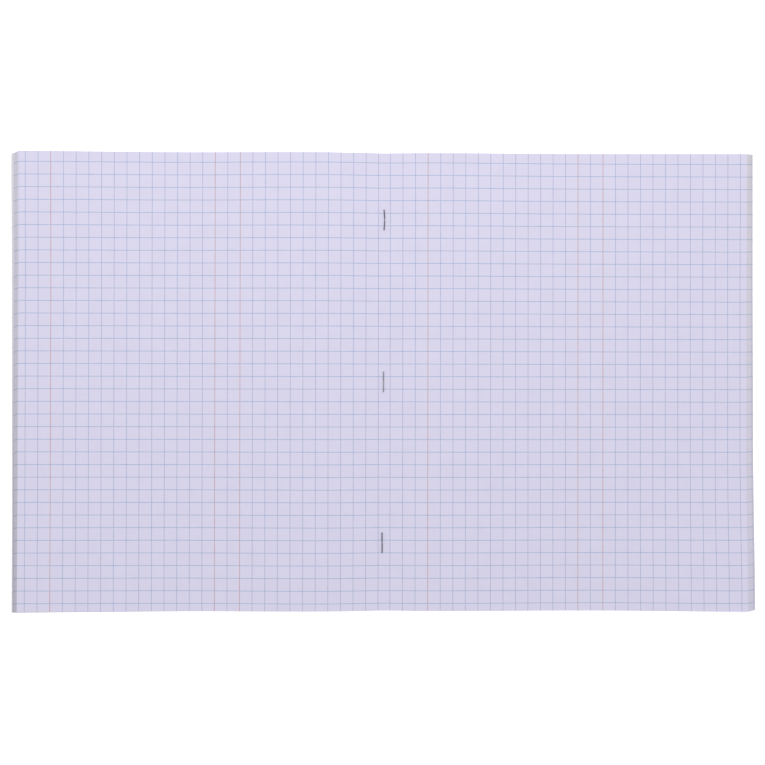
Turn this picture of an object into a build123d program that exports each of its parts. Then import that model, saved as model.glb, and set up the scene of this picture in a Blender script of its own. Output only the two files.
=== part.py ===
"""A stapled exercise book, lying open at its middle page.

X runs across the open spread, Y along the fold towards the head, and Z is up. The origin is on the
table, under the middle of the fold. All sizes are in millimetres.

The book is one card cover, a block of sheets that are folded once and nested in it, and three wire
staples through the fold. A sheet's two leaves turn at the fold, so each leaf is a piece of its own, and
the narrow strip of every sheet that the staples hold in the fold is another.
"""

import math
import os

from build123d import *

# Paper and card
page_height = 255.0         # head to tail
page_width = 204.0          # fold to fore-edge of the innermost leaf
sheet_count = 20            # folded sheets, of two leaves each
paper_thickness = 0.095
sheet_clearance = 0.02      # air between one sheet and the next
card_thickness = 0.30

# Fold
fold_half_width = 2.0       # the strip on each side of the fold that the staples hold
hinge_clearance = 0.10      # between that strip and the leaf that turns beside it

# The pages arch up beside the fold and come down flat on the table further out
left_arch_rise = 2.8        # above the level of the fold
left_arch_peak = 36.0       # distance of the crest from the fold
left_arch_end = 120.0       # distance from the fold where the page lies flat again
right_arch_rise = 1.4
right_arch_peak = 30.0
right_arch_end = 110.0
rising_facets = 6           # flat facets of an arch between the fold and the crest
falling_facets = 8          # and between the crest and the flat of the page

# Staples
wire_diameter = 0.55
crown_length = 11.7         # outside width of a staple
staple_inset = 37.5         # from the head or the tail to the middle of the nearest staple
staple_drift = 0.6          # off the fold line: to the right at the head, to the left at the tail
leg_tip_gap = 0.9           # between the two bent legs of a staple
wire_clearance = 0.05       # between the wire and the paper or card beside it
bend_inner_radius = 0.08    # on the inside of the wire's bends
crown_clearance = 0.05      # between the crowns and the table

sheet_pitch = paper_thickness + sheet_clearance
fold_lift = crown_clearance + wire_diameter + wire_clearance    # from the table to the cover's spine
block_top = fold_lift + card_thickness + sheet_count * sheet_pitch
leaf_start = fold_half_width + hinge_clearance
wire_radius = wire_diameter / 2
bend_radius = wire_radius + bend_inner_radius
leg_offset = crown_length / 2 - wire_radius
hole_radius = wire_radius + wire_clearance

LEFT = -1
RIGHT = 1
ARCHES = {
    LEFT: (left_arch_rise, left_arch_peak, left_arch_end),
    RIGHT: (right_arch_rise, right_arch_peak, right_arch_end),
}
end_staple = page_height / 2 - staple_inset
STAPLES = {
    "staple_head": (staple_drift, end_staple),
    "staple_middle": (0.0, 0.0),
    "staple_foot": (-staple_drift, -end_staple),
}


def arch_height(side, distance):
    """Height of the page above the level of the fold, at a distance from the fold."""
    rise, peak, end = ARCHES[side]
    if distance <= peak:
        share = (distance - fold_half_width) / (peak - fold_half_width)
        return rise * math.sin(math.pi / 2 * share)
    if distance >= end:
        return -fold_lift
    share = (distance - peak) / (end - peak)
    return -fold_lift + (rise + fold_lift) * (1 + math.cos(math.pi * share)) / 2


def arch_stations(side, width):
    """Distances from the fold at which the page's facets meet, out to the fore-edge."""
    _, peak, end = ARCHES[side]
    rising = [leaf_start + (peak - leaf_start) * i / rising_facets for i in range(rising_facets)]
    falling = [peak + (end - peak) * i / falling_facets for i in range(falling_facets + 1)]
    return rising + falling + [width]


def page_slab(side, bottom, thickness, width):
    """A leaf or cover board, from beside the fold to its fore-edge, with the arch of its side."""
    lower = [(side * u, bottom + arch_height(side, u)) for u in arch_stations(side, width)]
    upper = [(x, z + thickness) for x, z in reversed(lower)]
    section = make_face(Plane.XZ * Polyline(*lower, *upper, close=True))
    return extrude(section, amount=page_height / 2, both=True)


def fold_strip(bottom, thickness):
    """The strip of a sheet or of the cover in the fold, with holes for the staples' legs."""
    strip = Box(2 * fold_half_width, page_height, thickness)
    hole = Cylinder(hole_radius, 2 * thickness)
    holes = [
        Pos(x, y + leg * leg_offset, 0) * hole for x, y in STAPLES.values() for leg in (-1, 1)
    ]
    return Pos(0, 0, bottom + thickness / 2) * (strip - holes)


def layer_bottom(layer):
    """Underside, at the fold, of a sheet; layer 0 is the innermost, which lies on top."""
    return block_top - layer * sheet_pitch - paper_thickness


def layer_width(layer):
    """Fold to fore-edge: a sheet further out went round more of the block, and so reaches further."""
    return page_width + math.pi / 2 * layer * sheet_pitch


def staple():
    """Wire from leg tip to leg tip: over the inner sheet, down, along the spine, and up and over again."""
    crown_level = fold_lift - wire_clearance - wire_radius
    clinch_level = block_top + wire_clearance + wire_radius
    tip = leg_tip_gap / 2
    path = FilletPolyline(
        (0, -tip, clinch_level),
        (0, -leg_offset, clinch_level),
        (0, -leg_offset, crown_level),
        (0, leg_offset, crown_level),
        (0, leg_offset, clinch_level),
        (0, tip, clinch_level),
        radius=bend_radius,
    )
    section = Plane(origin=path @ 0, z_dir=path % 0) * Circle(wire_radius)
    return sweep(section, path=path)


def build_pieces():
    """Every piece of the book by its name."""
    pieces = {}
    for layer in range(sheet_count):
        bottom = layer_bottom(layer)
        width = layer_width(layer)
        left_number = sheet_count - layer
        right_number = sheet_count + 1 + layer
        pieces[f"leaf_{left_number:02d}"] = page_slab(LEFT, bottom, paper_thickness, width)
        pieces[f"leaf_{right_number:02d}"] = page_slab(RIGHT, bottom, paper_thickness, width)
    cover_width = layer_width(sheet_count)
    pieces["front_cover"] = page_slab(LEFT, fold_lift, card_thickness, cover_width)
    pieces["back_cover"] = page_slab(RIGHT, fold_lift, card_thickness, cover_width)
    pieces["cover_spine"] = fold_strip(fold_lift, card_thickness)
    pieces["sheet_folds"] = Compound(children=[
        fold_strip(layer_bottom(layer), paper_thickness) for layer in range(sheet_count)
    ])
    for name, (x, y) in STAPLES.items():
        pieces[name] = Pos(x, y, 0) * staple()
    return pieces


os.makedirs("parts", exist_ok=True)
for name, shape in build_pieces().items():
    export_step(shape, f"parts/{name}.step")
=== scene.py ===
"""A stapled exercise book lying open at its middle page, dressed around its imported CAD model.

Every sheet of squared paper starts as a flat grid, gets its printed ruling as a map in metres, is bent
along the arch of its side of the book and gets its thickness. The card cover is made the same way, and the
three staples are drawn as bent wire.
"""

import math
import random

import bpy
from bpy.props import FloatProperty, FloatVectorProperty, IntProperty, PointerProperty
from mathutils import Euler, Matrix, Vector


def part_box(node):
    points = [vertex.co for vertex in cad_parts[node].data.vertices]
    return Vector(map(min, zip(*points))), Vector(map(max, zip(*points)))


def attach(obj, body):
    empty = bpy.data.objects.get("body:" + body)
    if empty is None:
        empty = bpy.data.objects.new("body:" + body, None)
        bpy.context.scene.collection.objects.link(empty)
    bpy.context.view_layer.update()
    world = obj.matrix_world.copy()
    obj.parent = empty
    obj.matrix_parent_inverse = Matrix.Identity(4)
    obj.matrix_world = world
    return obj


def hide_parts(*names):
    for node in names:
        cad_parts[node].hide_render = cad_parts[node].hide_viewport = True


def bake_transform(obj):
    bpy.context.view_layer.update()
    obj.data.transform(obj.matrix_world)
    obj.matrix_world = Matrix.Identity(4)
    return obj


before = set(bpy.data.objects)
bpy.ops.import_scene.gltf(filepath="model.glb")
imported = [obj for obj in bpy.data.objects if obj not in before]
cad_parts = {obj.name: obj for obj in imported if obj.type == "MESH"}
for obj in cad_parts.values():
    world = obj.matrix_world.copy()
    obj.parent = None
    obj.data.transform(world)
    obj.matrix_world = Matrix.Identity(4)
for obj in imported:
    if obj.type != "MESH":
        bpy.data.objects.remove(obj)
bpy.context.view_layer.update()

bl_info = {
    "name": "Stapled exercise book",
    "version": (1, 0, 0),
    "blender": (4, 5, 0),
    "location": "View3D > Sidebar > Exercise book",
    "description": "Models a stapled exercise book of squared paper, open at its middle page",
    "category": "Object",
}

MM = 0.001
LEFT = -1
RIGHT = 1
PRINT_MAP = "print"

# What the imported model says
LEAVES = sorted(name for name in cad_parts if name.startswith("leaf_"))
SHEETS = len(LEAVES) // 2
TOP_LEFT = LEAVES[SHEETS - 1]
TOP_RIGHT = LEAVES[SHEETS]
PAGE_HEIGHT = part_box(TOP_LEFT)[1].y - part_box(TOP_LEFT)[0].y
FOLD_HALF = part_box("cover_spine")[1].x
FOLD_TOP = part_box("sheet_folds")[1].z
SPINE_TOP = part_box("cover_spine")[1].z
CARD = SPINE_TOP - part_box("cover_spine")[0].z
SHEET_PITCH = (FOLD_TOP - SPINE_TOP) / SHEETS
LEFT_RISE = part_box(TOP_LEFT)[1].z - FOLD_TOP
RIGHT_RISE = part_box(TOP_RIGHT)[1].z - FOLD_TOP
FLAT_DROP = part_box("cover_spine")[0].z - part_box("front_cover")[0].z

# Squares from a page's first upright line to its margin lines
VERSO_MARGINS = (11, 13, 26)
RECTO_MARGINS = (3, 15, 17)
# Pages under the top ones are printed up to this much off their place
PRINT_SLIP = 0.3 * MM
# From beside the fold, the stretch of a leaf that bends when it turns
LEAF_BEND = 8 * MM
# Edges flatter than this are smooth
PAPER_SMOOTH = math.radians(40)
WIRE_SMOOTH = math.radians(50)
# Vertices closer than this are one
WELD = 0.001 * MM
# A cut tip of the wire as a share of its diameter
TIP_WIDTH = 0.75
TIP_HEIGHT = 0.35
# The floor lies this far under the cover, so that no two faces coincide
FLOOR_GAP = 0.02 * MM

# Sockets of a colour Mix node
MIX_A = 6
MIX_B = 7
MIX_OUT = 2


def linear(hex_colour):
    """An sRGB hex colour as linear red, green, blue and alpha."""
    channels = [int(hex_colour[i:i + 2], 16) / 255 for i in (0, 2, 4)]
    return [c / 12.92 if c <= 0.04045 else ((c + 0.055) / 1.055) ** 2.4 for c in channels] + [1.0]


def shade(tint, share):
    """A lighter or darker shade of a colour."""
    return [share * channel for channel in tint[:3]] + [1.0]


def length(name, description, default):
    """A length in metres that a user may change."""
    return FloatProperty(name=name, description=description, default=default, unit="LENGTH", precision=5)


def top_and_lowest(name, description, top, lowest):
    """A length in metres for the top leaf of a side and one for its lowest leaf."""
    return FloatVectorProperty(name=name, description=description + ", for the top and the lowest leaf",
                               default=(top, lowest), size=2, unit="LENGTH", precision=5)


def colour(name, description, hex_colour):
    """A colour that a user may change."""
    return FloatVectorProperty(name=name, description=description, default=linear(hex_colour), size=4,
                               subtype="COLOR", min=0, max=1)


class PaperSettings(bpy.types.PropertyGroup):
    """The sheets of paper and how they lie."""

    thickness: length("Thickness", "Thickness of one leaf", 0.095 * MM)
    flare: length("Flare", "How much taller a leaf is at its fore-edge, from the trim", 1.0 * MM)
    left_crest: length("Left crest", "From the fold to the top of the left pages' arch", 36 * MM)
    left_flat: length("Left flat", "From the fold to where the left pages lie flat", 120 * MM)
    right_crest: length("Right crest", "From the fold to the top of the right pages' arch", 30 * MM)
    right_flat: length("Right flat", "From the fold to where the right pages lie flat", 110 * MM)
    sheet_turn: FloatProperty(
        name="Turn of the lowest sheet", description="How far it has slipped round under the top one",
        default=math.radians(0.12), unit="ROTATION")
    tail_slip: length("Tail slip of the lowest sheet", "How far it has slipped towards the tail", 0.24 * MM)
    short_height: length("Short height", "How much shorter the lowest sheet is than the top one", 0.3 * MM)
    left_reach: top_and_lowest("Left reach", "Beyond the fore-edge in the CAD", -0.8 * MM, -1.25 * MM)
    left_slant: top_and_lowest("Left slant", "How much wider at the tail than midway", 0.45 * MM, 0.25 * MM)
    right_reach: top_and_lowest("Right reach", "Beyond the fore-edge in the CAD", -0.4 * MM, 0.3 * MM)
    right_slant: top_and_lowest("Right slant", "How much wider at the tail than midway",
                                -0.25 * MM, -0.15 * MM)
    head_left_lift: length("Head left lift", "How far the top leaf's corner stands up", 1.4 * MM)
    tail_left_lift: length("Tail left lift", "How far the top leaf's corner stands up", 0.8 * MM)
    head_right_lift: length("Head right lift", "How far the top leaf's corner stands up", 0.8 * MM)
    tail_right_lift: length("Tail right lift", "How far the top leaf's corner stands up", 4.0 * MM)
    lift_reach: length("Lift reach", "From a corner to where its lift ends", 85 * MM)
    cover_lift: FloatProperty(
        name="Cover lift", description="Share of the top leaf's lift at the cover's corners", default=0.7)
    seed: IntProperty(name="Seed", description="Choice of how loosely the leaves lie", default=7)
    colour: colour("Paper", "Brightened white paper", "D9D5EB")
    # The four edge tints are painted shade on the strips of lower leaves beyond the top one, graded from head
    # to tail
    left_head_edge_shade: colour("Left head edges", "Painted shade on the left edges at the head", "F4F4EC")
    left_tail_edge_shade: colour("Left tail edges", "Painted shade on the left edges at the tail", "E4E4DC")
    right_head_edge_shade: colour("Right head edges", "Painted shade on the right edges at the head", "FAFAED")
    right_tail_edge_shade: colour("Right tail edges", "Painted shade on the right edges at the tail", "FFFFFA")


class RulingSettings(bpy.types.PropertyGroup):
    """The printed squares and margins."""

    square: length("Square", "From one upright line to the next", 7.01 * MM)
    row: length("Row", "From one line across to the next", 7.01 * MM)
    line_width: length("Line width", "Width of a printed line", 0.30 * MM)
    head_line: length("Head line", "From the head to the first line", 5.48 * MM)
    verso_first: length("Left first line", "From the fold to the first line of a left page", 2.95 * MM)
    recto_first: length("Right first line", "From the fold to the first line of a right page", 3.65 * MM)
    across_ink: colour("Ink across", "Lines that run across the page", "8BAACC")
    upright_ink: colour("Ink upright", "Lines that run from head to tail", "9BAACB")
    margin_ink: colour("Margin ink", "The margin lines", "BC8880")


class CoverSettings(bpy.types.PropertyGroup):
    """The card cover."""

    left_overhang: length("Left overhang", "How far the cover stands out beyond the lowest leaf", 0.95 * MM)
    right_overhang: length("Right overhang", "How far the cover stands out beyond the lowest leaf", 0.08 * MM)
    left_slant: length("Left slant", "How much wider the cover is at the tail than midway", 0.0 * MM)
    right_slant: length("Right slant", "How much wider the cover is at the tail than midway", 0.02 * MM)
    turn: FloatProperty(
        name="Turn", description="How far the cover is turned under the top sheet",
        default=math.radians(0.17), unit="ROTATION")
    tail_slip: length("Tail slip", "How far the cover has slipped towards the tail", 0.24 * MM)
    panel_width: length("Panel width", "Width of the name panel on the front", 112 * MM)
    panel_height: length("Panel height", "Height of the name panel on the front", 66 * MM)
    panel_middle: length("Panel middle", "Height of its middle above the cover's", 46 * MM)
    outside: colour("Outside", "Dyed outer face of the card", "7C93B2")
    inside: colour("Inside", "Undyed inner face of the card", "D8D6DD")
    panel: colour("Panel", "The name panel", "E4E2DC")
    line_ink: colour("Line ink", "Lines printed on the cover", "33415C")


class WireSettings(bpy.types.PropertyGroup):
    """The staples."""

    bend_radius: length("Bend radius", "To the middle of the wire in its bends", 0.32 * MM)
    tip_taper: length("Tip taper", "Length of the cut at a leg's tip", 0.45 * MM)
    dull_zinc: colour("Dull zinc", "Zinc on the outer staples' wire", "54555C")
    # The middle staple's lighter zinc is a painted highlight, standing in for a lamp's reflection on its wire
    highlit_zinc: colour("Zinc with painted highlight", "Zinc on the middle staple's wire, lightened as a painted highlight", "8A8B92")


class StageSettings(bpy.types.PropertyGroup):
    """The camera and the light."""

    distance: length("Camera distance", "From the fold to the camera", 0.8)
    lens: FloatProperty(name="Lens", description="Focal length in millimetres", default=67.54)
    sky: FloatProperty(name="Sky", description="Strength of the light from all round", default=0.73)
    lamp_power: FloatProperty(name="Lamp", description="Power of the soft lamp", default=3.8, unit="POWER")


class BookSettings(bpy.types.PropertyGroup):
    """All settings of the exercise book."""

    paper: PointerProperty(type=PaperSettings)
    ruling: PointerProperty(type=RulingSettings)
    cover: PointerProperty(type=CoverSettings)
    wire: PointerProperty(type=WireSettings)
    stage: PointerProperty(type=StageSettings)


def add_node(tree, kind, inputs, **settings):
    """Add a node with its settings, and set or link its inputs."""
    made = tree.nodes.new(kind)
    for key, value in settings.items():
        setattr(made, key, value)
    for key, value in inputs.items():
        if isinstance(value, bpy.types.NodeSocket):
            tree.links.new(value, made.inputs[key])
        else:
            made.inputs[key].default_value = value
    return made


def new_material(name):
    """A material with an empty node tree."""
    material = bpy.data.materials.new(name)
    material.use_nodes = True
    material.node_tree.nodes.clear()
    return material, material.node_tree


def near_line(tree, offset, half_width):
    """1 where a distance from a line's middle is under half the line's width, softened by a tenth of it."""
    return add_node(tree, "ShaderNodeMapRange",
                    {"Value": offset, "From Min": 0.8 * half_width, "From Max": 1.2 * half_width,
                     "To Min": 1.0, "To Max": 0.0}, interpolation_type="SMOOTHSTEP").outputs[0]


def ruled_paper(name, first_line, margins, top_edge, shade_at_head, shade_at_tail, settings):
    """Uncoated wood-free paper with an optical brightener: matt, cool white and faintly cloudy.

    The offset-printed ruling is thin blue-grey ink that varies a little along its length. The map gives the
    distance from the fold and the height on the page in metres. All pages of a side share the material.
    """
    if name in bpy.data.materials:
        return bpy.data.materials[name]
    ruling = settings.ruling
    paper = settings.paper.colour
    material, tree = new_material(name)
    spot = add_node(tree, "ShaderNodeUVMap", {}, uv_map=PRINT_MAP).outputs[0]
    page = add_node(tree, "ShaderNodeSeparateXYZ", {0: spot})
    from_fold = add_node(tree, "ShaderNodeMath", {0: page.outputs["X"]}, operation="ABSOLUTE").outputs[0]
    half_square = ruling.square / 2
    half_row = ruling.row / 2
    half_line = ruling.line_width / 2
    head_line = PAGE_HEIGHT / 2 - ruling.head_line

    upright = add_node(tree, "ShaderNodeMath", {0: from_fold, 1: first_line}, operation="SUBTRACT").outputs[0]
    upright = add_node(tree, "ShaderNodeMath", {0: upright, 1: half_square}, operation="PINGPONG").outputs[0]
    across = add_node(tree, "ShaderNodeMath", {0: page.outputs["Y"], 1: head_line},
                      operation="SUBTRACT").outputs[0]
    across = add_node(tree, "ShaderNodeMath", {0: across, 1: half_row}, operation="PINGPONG").outputs[0]
    upright = near_line(tree, upright, half_line)
    across = near_line(tree, across, half_line)

    margin = None
    for squares in margins:
        line = first_line + squares * ruling.square
        here = add_node(tree, "ShaderNodeMath", {0: from_fold, 1: line, 2: half_square},
                        operation="COMPARE").outputs[0]
        if margin is not None:
            here = add_node(tree, "ShaderNodeMath", {0: margin, 1: here}, operation="MAXIMUM").outputs[0]
        margin = here

    # Ink takes unevenly over patches a few millimetres long, and the paper is cloudy over about a centimetre
    ink_take = add_node(tree, "ShaderNodeTexNoise", {"Vector": spot, "Scale": 1 / (4 * MM), "Detail": 2.0},
                        noise_dimensions="2D").outputs[0]
    ink_take = add_node(tree, "ShaderNodeMapRange", {"Value": ink_take, "From Min": 0.3, "From Max": 0.7,
                                                     "To Min": 0.80, "To Max": 1.0}).outputs[0]
    cloud = add_node(tree, "ShaderNodeTexNoise", {"Vector": spot, "Scale": 1 / (11 * MM), "Detail": 3.0},
                     noise_dimensions="2D").outputs[0]
    sheet = add_node(tree, "ShaderNodeMix",
                     {0: cloud, MIX_A: shade(paper, 0.975), MIX_B: shade(paper, 1.025)},
                     data_type="RGBA").outputs[MIX_OUT]
    upright_ink = add_node(tree, "ShaderNodeMix",
                           {0: margin, MIX_A: ruling.upright_ink, MIX_B: ruling.margin_ink},
                           data_type="RGBA").outputs[MIX_OUT]
    upright = add_node(tree, "ShaderNodeMath", {0: upright, 1: ink_take}, operation="MULTIPLY").outputs[0]
    across = add_node(tree, "ShaderNodeMath", {0: across, 1: ink_take}, operation="MULTIPLY").outputs[0]
    printed = add_node(tree, "ShaderNodeMix", {0: upright, MIX_A: sheet, MIX_B: upright_ink},
                       data_type="RGBA").outputs[MIX_OUT]
    printed = add_node(tree, "ShaderNodeMix", {0: across, MIX_A: printed, MIX_B: ruling.across_ink},
                       data_type="RGBA").outputs[MIX_OUT]

    # Fibres are about 0.1 mm apart, drawn at 0.8 mm so that they show
    fibre = add_node(tree, "ShaderNodeTexNoise", {"Vector": spot, "Scale": 1 / (0.8 * MM), "Detail": 3.0},
                     noise_dimensions="2D").outputs[0]
    bump = add_node(tree, "ShaderNodeBump",
                    {"Height": fibre, "Strength": 0.12, "Distance": 0.03 * MM}).outputs[0]

    # Where a lower leaf stands out beyond the top one, its edge is darkened with painted shade, graded from
    # head to tail, for the shade between the stepped leaf edges
    beyond_top_leaf = add_node(tree, "ShaderNodeMapRange", {"Value": from_fold, "From Min": top_edge,
                                                 "From Max": top_edge + 0.2 * MM}).outputs[0]
    height = add_node(tree, "ShaderNodeMapRange", {"Value": page.outputs["Y"], "From Min": -PAGE_HEIGHT / 2,
                                                   "From Max": PAGE_HEIGHT / 2}).outputs[0]
    painted_edge_shade = add_node(tree, "ShaderNodeMix", {0: height, MIX_A: shade_at_tail, MIX_B: shade_at_head},
                         data_type="RGBA").outputs[MIX_OUT]
    printed = add_node(tree, "ShaderNodeMix", {0: beyond_top_leaf, MIX_A: printed, MIX_B: painted_edge_shade}, data_type="RGBA",
                       blend_type="MULTIPLY").outputs[MIX_OUT]
    surface = add_node(tree, "ShaderNodeBsdfPrincipled",
                       {"Base Color": printed, "Roughness": 0.92, "Specular IOR Level": 0.25, "Normal": bump})
    add_node(tree, "ShaderNodeOutputMaterial", {"Surface": surface.outputs[0]})
    return material


def card_inside(settings):
    """Undyed inner face of grey cover card: matt, with short darker flecks from recycled fibre."""
    material, tree = new_material("grey_recycled_card")
    spot = add_node(tree, "ShaderNodeUVMap", {}, uv_map=PRINT_MAP).outputs[0]
    fleck = add_node(tree, "ShaderNodeTexNoise", {"Vector": spot, "Scale": 1 / (0.9 * MM), "Detail": 2.0},
                     noise_dimensions="2D").outputs[0]
    fleck = add_node(tree, "ShaderNodeMapRange",
                     {"Value": fleck, "From Min": 0.62, "From Max": 0.72}).outputs[0]
    base = settings.cover.inside
    tint = add_node(tree, "ShaderNodeMix", {0: fleck, MIX_A: base, MIX_B: shade(base, 0.72)},
                    data_type="RGBA").outputs[MIX_OUT]
    surface = add_node(tree, "ShaderNodeBsdfPrincipled",
                       {"Base Color": tint, "Roughness": 0.9, "Specular IOR Level": 0.25})
    add_node(tree, "ShaderNodeOutputMaterial", {"Surface": surface.outputs[0]})
    return material


def card_outside(settings):
    """Dyed sugar-paper card: matt, with lighter and darker fibres, rubbed pale along its edges and fold.

    The front has a bare printed name panel: a pale box with a frame and four writing lines.
    """
    cover = settings.cover
    front_width = -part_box("front_cover")[0].x
    frame_inset = 2.5 * MM
    frame_half = 0.35 * MM
    writing_inset = 8 * MM
    writing_half = 0.2 * MM
    writing_pitch = cover.panel_height / 5
    rub_width = 1.2 * MM
    material, tree = new_material("dyed_cover_card")
    spot = add_node(tree, "ShaderNodeUVMap", {}, uv_map=PRINT_MAP).outputs[0]
    face = add_node(tree, "ShaderNodeSeparateXYZ", {0: spot})
    fibre = add_node(tree, "ShaderNodeTexNoise", {"Vector": spot, "Scale": 1 / (1.1 * MM), "Detail": 5.0},
                     noise_dimensions="2D").outputs[0]
    dyed = add_node(tree, "ShaderNodeMix",
                    {0: fibre, MIX_A: shade(cover.outside, 0.8), MIX_B: shade(cover.outside, 1.2)},
                    data_type="RGBA").outputs[MIX_OUT]

    # Distances from the panel's middle, on the front half alone
    out_x = add_node(tree, "ShaderNodeMath", {0: face.outputs["X"], 1: front_width / 2},
                     operation="ADD").outputs[0]
    out_x = add_node(tree, "ShaderNodeMath", {0: out_x}, operation="ABSOLUTE").outputs[0]
    height = add_node(tree, "ShaderNodeMath", {0: face.outputs["Y"], 1: cover.panel_middle},
                      operation="SUBTRACT").outputs[0]
    out_y = add_node(tree, "ShaderNodeMath", {0: height}, operation="ABSOLUTE").outputs[0]
    beyond_x = add_node(tree, "ShaderNodeMath", {0: out_x, 1: cover.panel_width / 2},
                        operation="SUBTRACT").outputs[0]
    beyond_y = add_node(tree, "ShaderNodeMath", {0: out_y, 1: cover.panel_height / 2},
                        operation="SUBTRACT").outputs[0]
    beyond = add_node(tree, "ShaderNodeMath", {0: beyond_x, 1: beyond_y}, operation="MAXIMUM").outputs[0]
    in_panel = add_node(tree, "ShaderNodeMath", {0: beyond, 1: 0.0}, operation="LESS_THAN").outputs[0]
    from_frame = add_node(tree, "ShaderNodeMath", {0: beyond, 1: frame_inset}, operation="ADD").outputs[0]
    from_frame = add_node(tree, "ShaderNodeMath", {0: from_frame}, operation="ABSOLUTE").outputs[0]
    border = near_line(tree, from_frame, frame_half)
    to_line = add_node(tree, "ShaderNodeMath", {0: height, 1: writing_pitch / 2},
                       operation="SUBTRACT").outputs[0]
    to_line = add_node(tree, "ShaderNodeMath", {0: to_line, 1: writing_pitch / 2},
                       operation="PINGPONG").outputs[0]
    writing = near_line(tree, to_line, writing_half)
    well_inside = add_node(tree, "ShaderNodeMath", {0: beyond, 1: -writing_inset},
                           operation="LESS_THAN").outputs[0]
    writing = add_node(tree, "ShaderNodeMath", {0: writing, 1: well_inside}, operation="MULTIPLY").outputs[0]
    ink = add_node(tree, "ShaderNodeMath", {0: border, 1: writing}, operation="MAXIMUM").outputs[0]
    ink = add_node(tree, "ShaderNodeMath", {0: ink, 1: in_panel}, operation="MULTIPLY").outputs[0]

    with_panel = add_node(tree, "ShaderNodeMix", {0: in_panel, MIX_A: dyed, MIX_B: cover.panel},
                          data_type="RGBA").outputs[MIX_OUT]
    with_ink = add_node(tree, "ShaderNodeMix", {0: ink, MIX_A: with_panel, MIX_B: cover.line_ink},
                        data_type="RGBA").outputs[MIX_OUT]

    # Faintly rubbed within about a millimetre of the edges and of the fold
    to_fold = add_node(tree, "ShaderNodeMath", {0: face.outputs["X"]}, operation="ABSOLUTE").outputs[0]
    to_middle = add_node(tree, "ShaderNodeMath", {0: face.outputs["Y"]}, operation="ABSOLUTE").outputs[0]
    to_fore_edge = add_node(tree, "ShaderNodeMath", {0: front_width, 1: to_fold},
                            operation="SUBTRACT").outputs[0]
    to_end = add_node(tree, "ShaderNodeMath", {0: PAGE_HEIGHT / 2, 1: to_middle},
                      operation="SUBTRACT").outputs[0]
    to_rim = add_node(tree, "ShaderNodeMath", {0: to_fore_edge, 1: to_end}, operation="MINIMUM").outputs[0]
    to_rim = add_node(tree, "ShaderNodeMath", {0: to_rim, 1: to_fold}, operation="MINIMUM").outputs[0]
    near_rim = add_node(tree, "ShaderNodeMapRange", {"Value": to_rim, "From Min": 0.0, "From Max": rub_width,
                                                     "To Min": 1.0, "To Max": 0.0},
                        interpolation_type="SMOOTHSTEP").outputs[0]
    patch = add_node(tree, "ShaderNodeTexNoise", {"Vector": spot, "Scale": 1 / (6 * MM), "Detail": 4.0},
                     noise_dimensions="2D").outputs[0]
    rubbed = add_node(tree, "ShaderNodeMath", {0: near_rim, 1: patch}, operation="MULTIPLY").outputs[0]
    rubbed = add_node(tree, "ShaderNodeMapRange", {"Value": rubbed, "From Min": 0.1, "From Max": 0.7,
                                                   "To Max": 0.5}).outputs[0]
    worn = add_node(tree, "ShaderNodeMix", {0: rubbed, MIX_A: with_ink, MIX_B: cover.inside},
                    data_type="RGBA").outputs[MIX_OUT]
    bump = add_node(tree, "ShaderNodeBump",
                    {"Height": fibre, "Strength": 0.25, "Distance": 0.05 * MM}).outputs[0]
    surface = add_node(tree, "ShaderNodeBsdfPrincipled",
                       {"Base Color": worn, "Roughness": 0.82, "Specular IOR Level": 0.3, "Normal": bump})
    add_node(tree, "ShaderNodeOutputMaterial", {"Surface": surface.outputs[0]})
    return material


def zinc_wire(name, base):
    """Galvanised steel stitching wire: a dulled zinc skin with patches that have dulled more than others."""
    material, tree = new_material(name)
    spot = add_node(tree, "ShaderNodeTexCoord", {}).outputs["Object"]
    patch = add_node(tree, "ShaderNodeTexNoise",
                     {"Vector": spot, "Scale": 1 / (0.9 * MM), "Detail": 3.0}).outputs[0]
    tint = add_node(tree, "ShaderNodeMix", {0: patch, MIX_A: shade(base, 0.75), MIX_B: shade(base, 1.25)},
                    data_type="RGBA").outputs[MIX_OUT]
    rough = add_node(tree, "ShaderNodeMapRange", {"Value": patch, "To Min": 0.28, "To Max": 0.5}).outputs[0]
    surface = add_node(tree, "ShaderNodeBsdfPrincipled",
                       {"Base Color": tint, "Metallic": 1.0, "Roughness": rough})
    add_node(tree, "ShaderNodeOutputMaterial", {"Surface": surface.outputs[0]})
    return material


def paper_materials(settings):
    """Materials of a left-hand page and of a right-hand one."""
    ruling = settings.ruling
    paper = settings.paper
    left_edge = FOLD_HALF + reach(TOP_LEFT, LEFT, paper, 0)
    right_edge = FOLD_HALF + reach(TOP_RIGHT, RIGHT, paper, 0)
    verso = ruled_paper("squared_paper_verso", ruling.verso_first, VERSO_MARGINS, left_edge,
                        paper.left_head_edge_shade, paper.left_tail_edge_shade, settings)
    recto = ruled_paper("squared_paper_recto", ruling.recto_first, RECTO_MARGINS, right_edge,
                        paper.right_head_edge_shade, paper.right_tail_edge_shade, settings)
    return {LEFT: verso, RIGHT: recto}


def arch(side, paper):
    """Rise of a side's arch, and the distances from the fold to its crest and to its flat."""
    if side == LEFT:
        return LEFT_RISE, paper.left_crest, paper.left_flat
    return RIGHT_RISE, paper.right_crest, paper.right_flat


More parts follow.
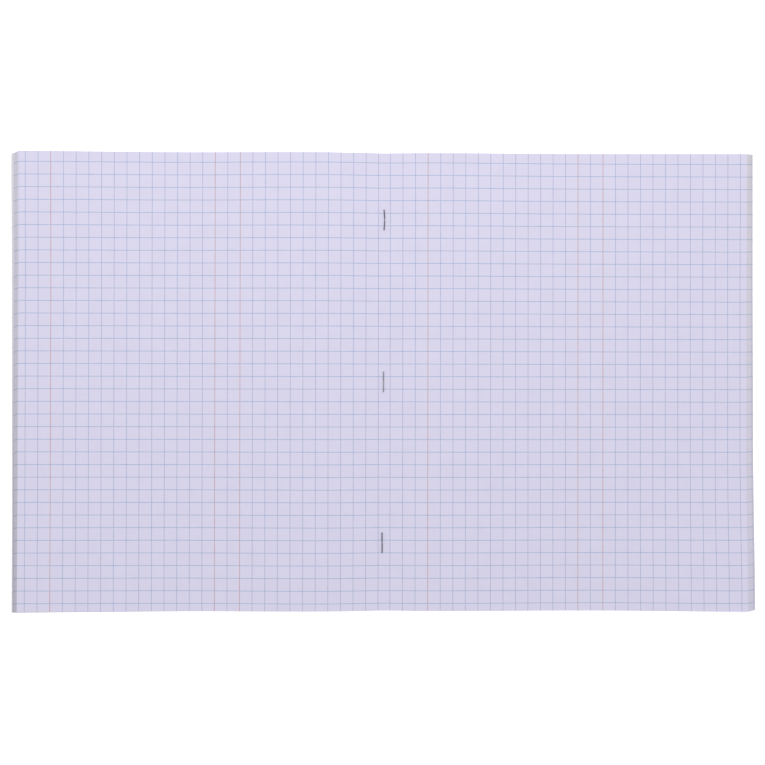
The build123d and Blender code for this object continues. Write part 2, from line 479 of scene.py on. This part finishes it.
def arch_line(side, paper):
    """A curve to bend a sheet along: from the fold's edge up to the crest, down to the table and outwards."""
    rise, crest, flat = arch(side, paper)
    far_end = 1.1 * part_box("back_cover")[1].x
    knots = [(FOLD_HALF, 0.0, math.pi / 2 * rise / (crest - FOLD_HALF)), (crest, rise, 0.0),
             (flat, -FLAT_DROP, 0.0), (far_end, -FLAT_DROP, 0.0)]
    data = bpy.data.curves.new("arch_line", "CURVE")
    data.dimensions = "3D"
    data.twist_mode = "Z_UP"
    data.resolution_u = 32
    spline = data.splines.new("BEZIER")
    spline.bezier_points.add(len(knots) - 1)
    for i, (point, (x, z, slope)) in enumerate(zip(spline.bezier_points, knots)):
        before = (x - knots[max(i - 1, 0)][0]) / 3
        after = (knots[min(i + 1, len(knots) - 1)][0] - x) / 3
        point.co = (x, 0, z)
        point.handle_left = (x - before, 0, z - slope * before)
        point.handle_right = (x + after, 0, z + slope * after)
    line = bpy.data.objects.new("arch_line", data)
    bpy.context.scene.collection.objects.link(line)
    return line


def flat_grid(name, start, end, height, columns, cuts):
    """A flat sheet from start to end across the book and from tail to head, with more columns at the cuts."""
    rows = 12
    bpy.ops.object.select_all(action="DESELECT")
    bpy.ops.mesh.primitive_grid_add(x_subdivisions=columns, y_subdivisions=rows, size=1, calc_uvs=False,
                                    location=((start + end) / 2, 0, 0))
    sheet = bpy.context.object
    sheet.name = name
    bpy.ops.transform.resize(value=(end - start, height, 1))
    bpy.ops.object.transform_apply(location=True, rotation=True, scale=True)
    bpy.ops.object.mode_set(mode="EDIT")
    for cut in cuts:
        bpy.ops.mesh.select_all(action="SELECT")
        bpy.ops.mesh.bisect(plane_co=(cut, 0, 0), plane_no=(1, 0, 0))
    bpy.ops.object.mode_set(mode="OBJECT")
    return sheet


def add_print_map(sheet, side, start, shift):
    """Map in metres for what is printed on a flat sheet: across from the fold, and up the page."""
    layer = sheet.data.uv_layers.new(name=PRINT_MAP)
    for loop in sheet.data.loops:
        point = sheet.data.vertices[loop.vertex_index].co
        layer.data[loop.index].uv = (side * (point.x + start + shift.x), point.y + shift.y)


def apply_modifier(piece, kind, **settings):
    """Add a modifier with its settings and apply it."""
    modifier = piece.modifiers.new(kind.lower(), kind)
    for key, value in settings.items():
        setattr(modifier, key, value)
    bpy.ops.object.modifier_apply(modifier=modifier.name)


def mirror_to_left(sheet):
    """Mirror a sheet that was made on the right over to the left, with its upper face still up."""
    sheet.scale.x = -1
    bpy.ops.object.transform_apply(location=False, rotation=False, scale=True)
    bpy.ops.object.mode_set(mode="EDIT")
    bpy.ops.mesh.select_all(action="SELECT")
    bpy.ops.mesh.flip_normals()
    bpy.ops.object.mode_set(mode="OBJECT")


def bend_outwards(sheet, side, line):
    """Bend a flat sheet along its side's arch, and mirror it to the left where that is its side."""
    apply_modifier(sheet, "CURVE", object=line, deform_axis="POS_X")
    if side == LEFT:
        mirror_to_left(sheet)


def lift_corner(sheet, side, end, lift, lift_reach):
    """Lift the fore-edge corner at the head or the tail, and the paper around it less and less."""
    corner = max(sheet.data.vertices, key=lambda v: side * v.co.x + end * v.co.y).index
    bpy.ops.object.mode_set(mode="EDIT")
    bpy.ops.mesh.select_mode(type="VERT")
    bpy.ops.mesh.select_all(action="DESELECT")
    bpy.ops.object.mode_set(mode="OBJECT")
    sheet.data.vertices[corner].select = True
    bpy.ops.object.mode_set(mode="EDIT")
    bpy.ops.transform.translate(value=(0, 0, lift), use_proportional_edit=True,
                                use_proportional_connected=True, proportional_edit_falloff="SMOOTH",
                                proportional_size=lift_reach)
    bpy.ops.object.mode_set(mode="OBJECT")


def place(piece, height, tail_slip, turn):
    """Set a piece at its height, slipped towards the tail and turned."""
    piece.location = (0, -tail_slip, height)
    piece.rotation_euler.z = turn
    bpy.ops.object.transform_apply(location=True, rotation=True, scale=True)


def finish_sheet(piece, thickness, materials):
    """Give a sheet its thickness below its upper face, and its two faces' materials."""
    for material in materials:
        piece.data.materials.append(material)
    apply_modifier(piece, "SOLIDIFY", thickness=thickness, offset=-1.0, material_offset=1,
                   use_even_offset=True)
    bpy.ops.object.shade_smooth_by_angle(angle=PAPER_SMOOTH)


def layer_share(layer):
    """0 for the top sheet and 1 for the lowest."""
    return layer / (SHEETS - 1)


def sheet_height(paper, share):
    """Head to tail at the fold."""
    return PAGE_HEIGHT - share * paper.short_height


def reach(node, side, paper, share):
    """Width of a leaf or board from beside the fold to its fore-edge."""
    low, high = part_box(node)
    if side == LEFT:
        top, lowest = paper.left_reach
        edge = -low.x
    else:
        top, lowest = paper.right_reach
        edge = high.x
    return edge - FOLD_HALF + top + share * (lowest - top)


def slant(side, paper, share):
    """How much wider a leaf is at the tail than midway."""
    top, lowest = paper.left_slant if side == LEFT else paper.right_slant
    return top + share * (lowest - top)


def trim(sheet, flare, wider_tail):
    """Shape a flat sheet as it is trimmed: taller at its fore-edge, and slanted along it."""
    apply_modifier(sheet, "SIMPLE_DEFORM", deform_method="TAPER", deform_axis="X", factor=flare / PAGE_HEIGHT)
    apply_modifier(sheet, "SIMPLE_DEFORM", deform_method="TAPER", deform_axis="Y",
                   factor=-2 * wider_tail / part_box(TOP_RIGHT)[1].x)


def corner_lifts(side, paper):
    """How far the top leaf's corners stand up at the head and at the tail."""
    if side == LEFT:
        return paper.head_left_lift, paper.tail_left_lift
    return paper.head_right_lift, paper.tail_right_lift


def join(name, parts):
    """Join parts into one piece, and weld the edges where they meet."""
    bpy.ops.object.select_all(action="DESELECT")
    for part in parts:
        part.select_set(True)
    bpy.context.view_layer.objects.active = parts[0]
    bpy.ops.object.join()
    piece = bpy.context.object
    piece.name = name
    bpy.ops.object.mode_set(mode="EDIT")
    bpy.ops.mesh.select_all(action="SELECT")
    bpy.ops.mesh.remove_doubles(threshold=WELD)
    bpy.ops.object.mode_set(mode="OBJECT")
    return piece


class BOOK_OT_leaves(bpy.types.Operator):
    """Model the leaves of squared paper, two to each folded sheet"""

    bl_idname = "exercise_book.leaves"
    bl_label = "Leaves"
    bl_options = {"REGISTER", "UNDO"}

    def execute(self, context):
        settings = context.scene.exercise_book
        paper = settings.paper
        pages = paper_materials(settings)
        lines = {side: arch_line(side, paper) for side in (LEFT, RIGHT)}
        draw = random.Random(paper.seed)
        for side in (LEFT, RIGHT):
            head_lift, tail_lift = corner_lifts(side, paper)
            head_shares = self.lift_shares(draw, paper)
            tail_shares = self.lift_shares(draw, paper)
            for layer in range(SHEETS):
                self.make_leaf(side, layer, lines[side], pages, paper, draw,
                               head_lift * head_shares[layer], tail_lift * tail_shares[layer])
        for line in lines.values():
            bpy.data.objects.remove(line)
        return {"FINISHED"}

    def lift_shares(self, draw, paper):
        """Share of the top leaf's lift for each layer, from 1 down to the cover's share, in uneven steps."""
        steps = [draw.uniform(0.2, 1.0) for _ in range(SHEETS)]
        fanned = 1 - paper.cover_lift
        return [paper.cover_lift + fanned * sum(steps[layer:]) / sum(steps) for layer in range(SHEETS)]

    def make_leaf(self, side, layer, line, pages, paper, draw, head_lift, tail_lift):
        number = SHEETS - layer if side == LEFT else SHEETS + 1 + layer
        node = f"leaf_{number:02d}"
        share = layer_share(layer)
        steps = 10
        cuts = [LEAF_BEND * i / steps for i in range(1, steps + 1)]
        leaf = flat_grid(f"paper_{node}", 0, reach(node, side, paper, share), sheet_height(paper, share),
                         columns=36, cuts=cuts)
        trim(leaf, paper.flare, slant(side, paper, share))
        shift = Vector((0, 0))
        if layer:
            shift = Vector((draw.uniform(-PRINT_SLIP, PRINT_SLIP), draw.uniform(-PRINT_SLIP, PRINT_SLIP)))
        add_print_map(leaf, side, FOLD_HALF, shift)
        bend_outwards(leaf, side, line)
        lift_corner(leaf, side, 1, head_lift, paper.lift_reach)
        lift_corner(leaf, side, -1, tail_lift, paper.lift_reach)
        place(leaf, FOLD_TOP - layer * SHEET_PITCH, share * paper.tail_slip, share * paper.sheet_turn)
        finish_sheet(leaf, paper.thickness, (pages[side], pages[-side]))
        # The leaf's place is baked into its mesh, the same on either side
        if side == LEFT:
            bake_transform(leaf)
        else:
            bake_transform(leaf)
        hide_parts(node)


class BOOK_OT_sheet_folds(bpy.types.Operator):
    """Model the strips of the sheets that the staples hold in the fold"""

    bl_idname = "exercise_book.sheet_folds"
    bl_label = "Sheet folds"
    bl_options = {"REGISTER", "UNDO"}

    def execute(self, context):
        settings = context.scene.exercise_book
        paper = settings.paper
        pages = paper_materials(settings)
        halves = []
        for layer in range(SHEETS):
            for side in (LEFT, RIGHT):
                share = layer_share(layer)
                half = flat_grid("fold_half", 0, FOLD_HALF, sheet_height(paper, share), columns=8, cuts=[])
                add_print_map(half, side, 0, Vector((0, 0)))
                if side == LEFT:
                    mirror_to_left(half)
                half.data.materials.append(pages[LEFT])
                half.data.materials.append(pages[RIGHT])
                for face in half.data.polygons:
                    face.material_index = 0 if side == LEFT else 1
                place(half, FOLD_TOP - layer * SHEET_PITCH, share * paper.tail_slip, share * paper.sheet_turn)
                halves.append(half)
        folds = join("paper_sheet_folds", halves)
        apply_modifier(folds, "SOLIDIFY", thickness=paper.thickness, offset=-1.0)
        bpy.ops.object.shade_smooth_by_angle(angle=PAPER_SMOOTH)
        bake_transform(folds)
        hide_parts("sheet_folds")
        return {"FINISHED"}


class BOOK_OT_cover(bpy.types.Operator):
    """Model the card cover as one sheet folded round the block"""

    bl_idname = "exercise_book.cover"
    bl_label = "Cover"
    bl_options = {"REGISTER", "UNDO"}

    def execute(self, context):
        settings = context.scene.exercise_book
        paper = settings.paper
        lie = settings.cover
        halves = []
        for side, node, overhang, wider_tail in (
                (LEFT, "front_cover", lie.left_overhang, lie.left_slant),
                (RIGHT, "back_cover", lie.right_overhang, lie.right_slant)):
            line = arch_line(side, paper)
            crease_step = 0.5 * MM
            cuts = [crease_step * i for i in range(1, 9)]
            width = reach(node, side, paper, 1) + overhang
            board = flat_grid("board", 0, width, sheet_height(paper, 1), columns=40, cuts=cuts)
            trim(board, paper.flare, wider_tail)
            add_print_map(board, side, FOLD_HALF, Vector((0, 0)))
            bend_outwards(board, side, line)
            bpy.data.objects.remove(line)
            for end, lift in zip((1, -1), corner_lifts(side, paper)):
                lift_corner(board, side, end, paper.cover_lift * lift, paper.lift_reach)
            halves.append(board)
        strip = flat_grid("strip", -FOLD_HALF, FOLD_HALF, sheet_height(paper, 1), columns=12, cuts=[])
        add_print_map(strip, RIGHT, 0, Vector((0, 0)))
        cover = join("card_cover", halves + [strip])
        place(cover, SPINE_TOP, lie.tail_slip, lie.turn)
        finish_sheet(cover, CARD, (card_inside(settings), card_outside(settings)))
        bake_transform(cover)
        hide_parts("front_cover", "back_cover", "cover_spine")
        return {"FINISHED"}


class BOOK_OT_staples(bpy.types.Operator):
    """Model the three wire staples through the fold"""

    bl_idname = "exercise_book.staples"
    bl_label = "Staples"
    bl_options = {"REGISTER", "UNDO"}

    def execute(self, context):
        settings = context.scene.exercise_book
        wire = settings.wire
        dull = zinc_wire("dull_galvanised_wire", wire.dull_zinc)
        highlit = zinc_wire("fresh_galvanised_wire", wire.highlit_zinc)
        # How far each staple sits from its place in the CAD, how far its head and tail tips lean to the
        # right, the gap between them, and its wire's material: the middle staple's is lighter, a painted
        # highlight
        staples = {
            "staple_head": (Vector((-0.42, 0.25, 0)) * MM, (0.3 * MM, 0.3 * MM), 0.4 * MM, dull),
            "staple_middle": (Vector((-0.07, -0.02, 0)) * MM, (0.0, 0.0), 0.05 * MM, highlit),
            "staple_foot": (Vector((-0.15, 0.28, 0)) * MM, (0.0, 0.05 * MM), 0.1 * MM, dull),
        }
        for node, (slip, leans, gap, zinc) in staples.items():
            staple = self.make_staple(node, wire, slip, leans, gap)
            staple.data.materials.append(zinc)
            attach(staple, "spine")
            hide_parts(node)
        return {"FINISHED"}

    def make_staple(self, node, wire, slip, leans, gap):
        low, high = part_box(node)
        radius = (high.x - low.x) / 2
        middle = (low + high) / 2 + slip
        bend = wire.bend_radius
        leg_x = (high.y - low.y) / 2 - radius
        top = high.z - radius
        bottom = low.z + radius
        tip = gap / 2
        leg = leg_x - bend - tip - wire.tip_taper
        drop = top - bottom - 2 * bend
        head_lean, tail_lean = leans
        head_tip = Vector((middle.x + head_lean, middle.y + tip, top))
        tail_tip = Vector((middle.x + tail_lean, middle.y - tip, top))
        taper = Vector((0, wire.tip_taper, 0))

        bpy.ops.object.select_all(action="DESELECT")
        bpy.ops.mesh.primitive_circle_add(vertices=14, radius=radius, fill_type="NOTHING", location=head_tip,
                                          rotation=(math.pi / 2, 0, 0))
        staple = bpy.context.object
        staple.name = f"wire_{node}"
        bpy.ops.object.transform_apply(location=True, rotation=True, scale=True)
        bpy.ops.object.mode_set(mode="EDIT")
        bpy.ops.mesh.select_all(action="SELECT")
        bpy.ops.transform.resize(value=(TIP_WIDTH, 1, TIP_HEIGHT), center_override=head_tip)

        self.extrude(taper)
        bpy.ops.transform.resize(value=(1 / TIP_WIDTH, 1, 1 / TIP_HEIGHT), center_override=head_tip + taper)
        self.extrude((-head_lean, leg, 0))
        self.bend((middle.x, middle.y + leg_x - bend, top - bend))
        self.extrude((0, 0, -drop))
        self.bend((middle.x, middle.y + leg_x - bend, bottom + bend))
        self.extrude((0, -2 * (leg_x - bend), 0))
        self.bend((middle.x, middle.y - leg_x + bend, bottom + bend))
        self.extrude((0, 0, drop))
        self.bend((middle.x, middle.y - leg_x + bend, top - bend))
        self.extrude((tail_lean, leg, 0))
        self.extrude(taper)
        bpy.ops.transform.resize(value=(TIP_WIDTH, 1, TIP_HEIGHT), center_override=tail_tip)

        bpy.ops.mesh.select_all(action="SELECT")
        bpy.ops.mesh.remove_doubles(threshold=WELD)
        bpy.ops.mesh.select_all(action="SELECT")
        bpy.ops.mesh.fill_holes(sides=0)
        bpy.ops.mesh.normals_make_consistent(inside=False)
        bpy.ops.object.mode_set(mode="OBJECT")
        bpy.ops.object.shade_smooth_by_angle(angle=WIRE_SMOOTH)
        return staple

    def extrude(self, step):
        """Draw the wire on by one straight step."""
        bpy.ops.mesh.extrude_edges_move(TRANSFORM_OT_translate={"value": step})

    def bend(self, centre):
        """Turn the wire by a quarter about a line across the book; spin counts clockwise as positive."""
        bpy.ops.mesh.spin(steps=5, angle=math.pi / 2, center=centre, axis=(1, 0, 0))


class BOOK_OT_stage(bpy.types.Operator):
    """Set up the floor, the light and the camera"""

    bl_idname = "exercise_book.stage"
    bl_label = "Stage"
    bl_options = {"REGISTER", "UNDO"}

    def execute(self, context):
        stage = context.scene.exercise_book.stage
        context.scene.view_settings.view_transform = "Standard"
        self.make_floor()
        self.make_sky(context.scene, stage)
        self.make_lamp(stage)
        self.make_camera(context.scene, stage)
        return {"FINISHED"}

    def seen_directly(self, tree):
        """1 for what the camera sees, also in a mirror or through glass."""
        path = add_node(tree, "ShaderNodeLightPath", {})
        seen = add_node(tree, "ShaderNodeMath",
                        {0: path.outputs["Is Camera Ray"], 1: path.outputs["Is Glossy Ray"]},
                        operation="MAXIMUM").outputs[0]
        return add_node(tree, "ShaderNodeMath", {0: seen, 1: path.outputs["Is Transmission Ray"]},
                        operation="MAXIMUM").outputs[0]

    def make_floor(self):
        bpy.ops.object.select_all(action="DESELECT")
        bpy.ops.mesh.primitive_plane_add(size=6, location=(0, 0, -FLOOR_GAP))
        floor = bpy.context.object
        floor.name = "floor"
        # Matt white paper with a glow for the eye alone: it reads as white and still takes a soft shadow
        material, tree = new_material("white_paper_sweep")
        glow_strength = 0.7
        glow = add_node(tree, "ShaderNodeMath", {0: self.seen_directly(tree), 1: glow_strength},
                        operation="MULTIPLY").outputs[0]
        matt = add_node(tree, "ShaderNodeBsdfDiffuse", {"Color": linear("F4F4F4")}).outputs[0]
        light = add_node(tree, "ShaderNodeEmission", {"Strength": glow}).outputs[0]
        both = add_node(tree, "ShaderNodeAddShader", {0: matt, 1: light}).outputs[0]
        add_node(tree, "ShaderNodeOutputMaterial", {"Surface": both})
        floor.data.materials.append(material)

    def make_sky(self, scene, stage):
        world = bpy.data.worlds.new("studio")
        world.use_nodes = True
        tree = world.node_tree
        tree.nodes.clear()
        seen = self.seen_directly(tree)
        strength = add_node(tree, "ShaderNodeMapRange",
                            {"Value": seen, "To Min": stage.sky, "To Max": 1.0}).outputs[0]
        sky = add_node(tree, "ShaderNodeBackground",
                       {"Color": linear("FFFFFF"), "Strength": strength}).outputs[0]
        add_node(tree, "ShaderNodeOutputWorld", {"Surface": sky})
        scene.world = world

    def make_lamp(self, stage):
        # On the head's side, because the photo's pages are lightest at the head
        spot = Vector((-0.05, 0.6, 0.8))
        bpy.ops.object.select_all(action="DESELECT")
        bpy.ops.object.light_add(type="AREA", location=spot)
        lamp = bpy.context.object
        lamp.name = "soft_lamp"
        lamp.rotation_euler = (-spot).to_track_quat("-Z", "Y").to_euler()
        lamp.data.shape = "SQUARE"
        lamp.data.size = 0.7
        lamp.data.energy = stage.lamp_power

    def make_camera(self, scene, stage):
        # Where the camera points and how it leans, fitted to the photo
        aim = Vector((-0.613 * MM, -0.427 * MM, FOLD_TOP))
        tilt = Euler((0.00607, -0.01919, 0.00137), "ZXY")
        bpy.ops.object.select_all(action="DESELECT")
        bpy.ops.object.camera_add(location=aim + tilt.to_matrix() @ Vector((0, 0, stage.distance)))
        camera = bpy.context.object
        camera.rotation_mode = "ZXY"
        camera.rotation_euler = tilt
        camera.data.sensor_width = 36
        camera.data.lens = stage.lens
        scene.camera = camera


class BOOK_PT_panel(bpy.types.Panel):
    """Lists the book's pieces and its settings"""

    bl_idname = "BOOK_PT_panel"
    bl_label = "Exercise book"
    bl_space_type = "VIEW_3D"
    bl_region_type = "UI"
    bl_category = "Exercise book"

    def draw(self, context):
        settings = context.scene.exercise_book
        for operator in OPERATORS:
            self.layout.operator(operator.bl_idname)
        for group in (settings.paper, settings.ruling, settings.cover, settings.wire, settings.stage):
            box = self.layout.box()
            for key in group.__annotations__:
                box.prop(group, key)


OPERATORS = (BOOK_OT_cover, BOOK_OT_sheet_folds, BOOK_OT_leaves, BOOK_OT_staples, BOOK_OT_stage)
CLASSES = (PaperSettings, RulingSettings, CoverSettings, WireSettings, StageSettings, BookSettings,
           *OPERATORS, BOOK_PT_panel)


def register():
    for cls in CLASSES:
        bpy.utils.register_class(cls)
    bpy.types.Scene.exercise_book = PointerProperty(type=BookSettings)


def unregister():
    del bpy.types.Scene.exercise_book
    for cls in reversed(CLASSES):
        bpy.utils.unregister_class(cls)


def main():
    register()
    bpy.ops.exercise_book.cover()
    bpy.ops.exercise_book.sheet_folds()
    bpy.ops.exercise_book.leaves()
    bpy.ops.exercise_book.staples()
    bpy.ops.exercise_book.stage()


if __name__ == "__main__":
    main()
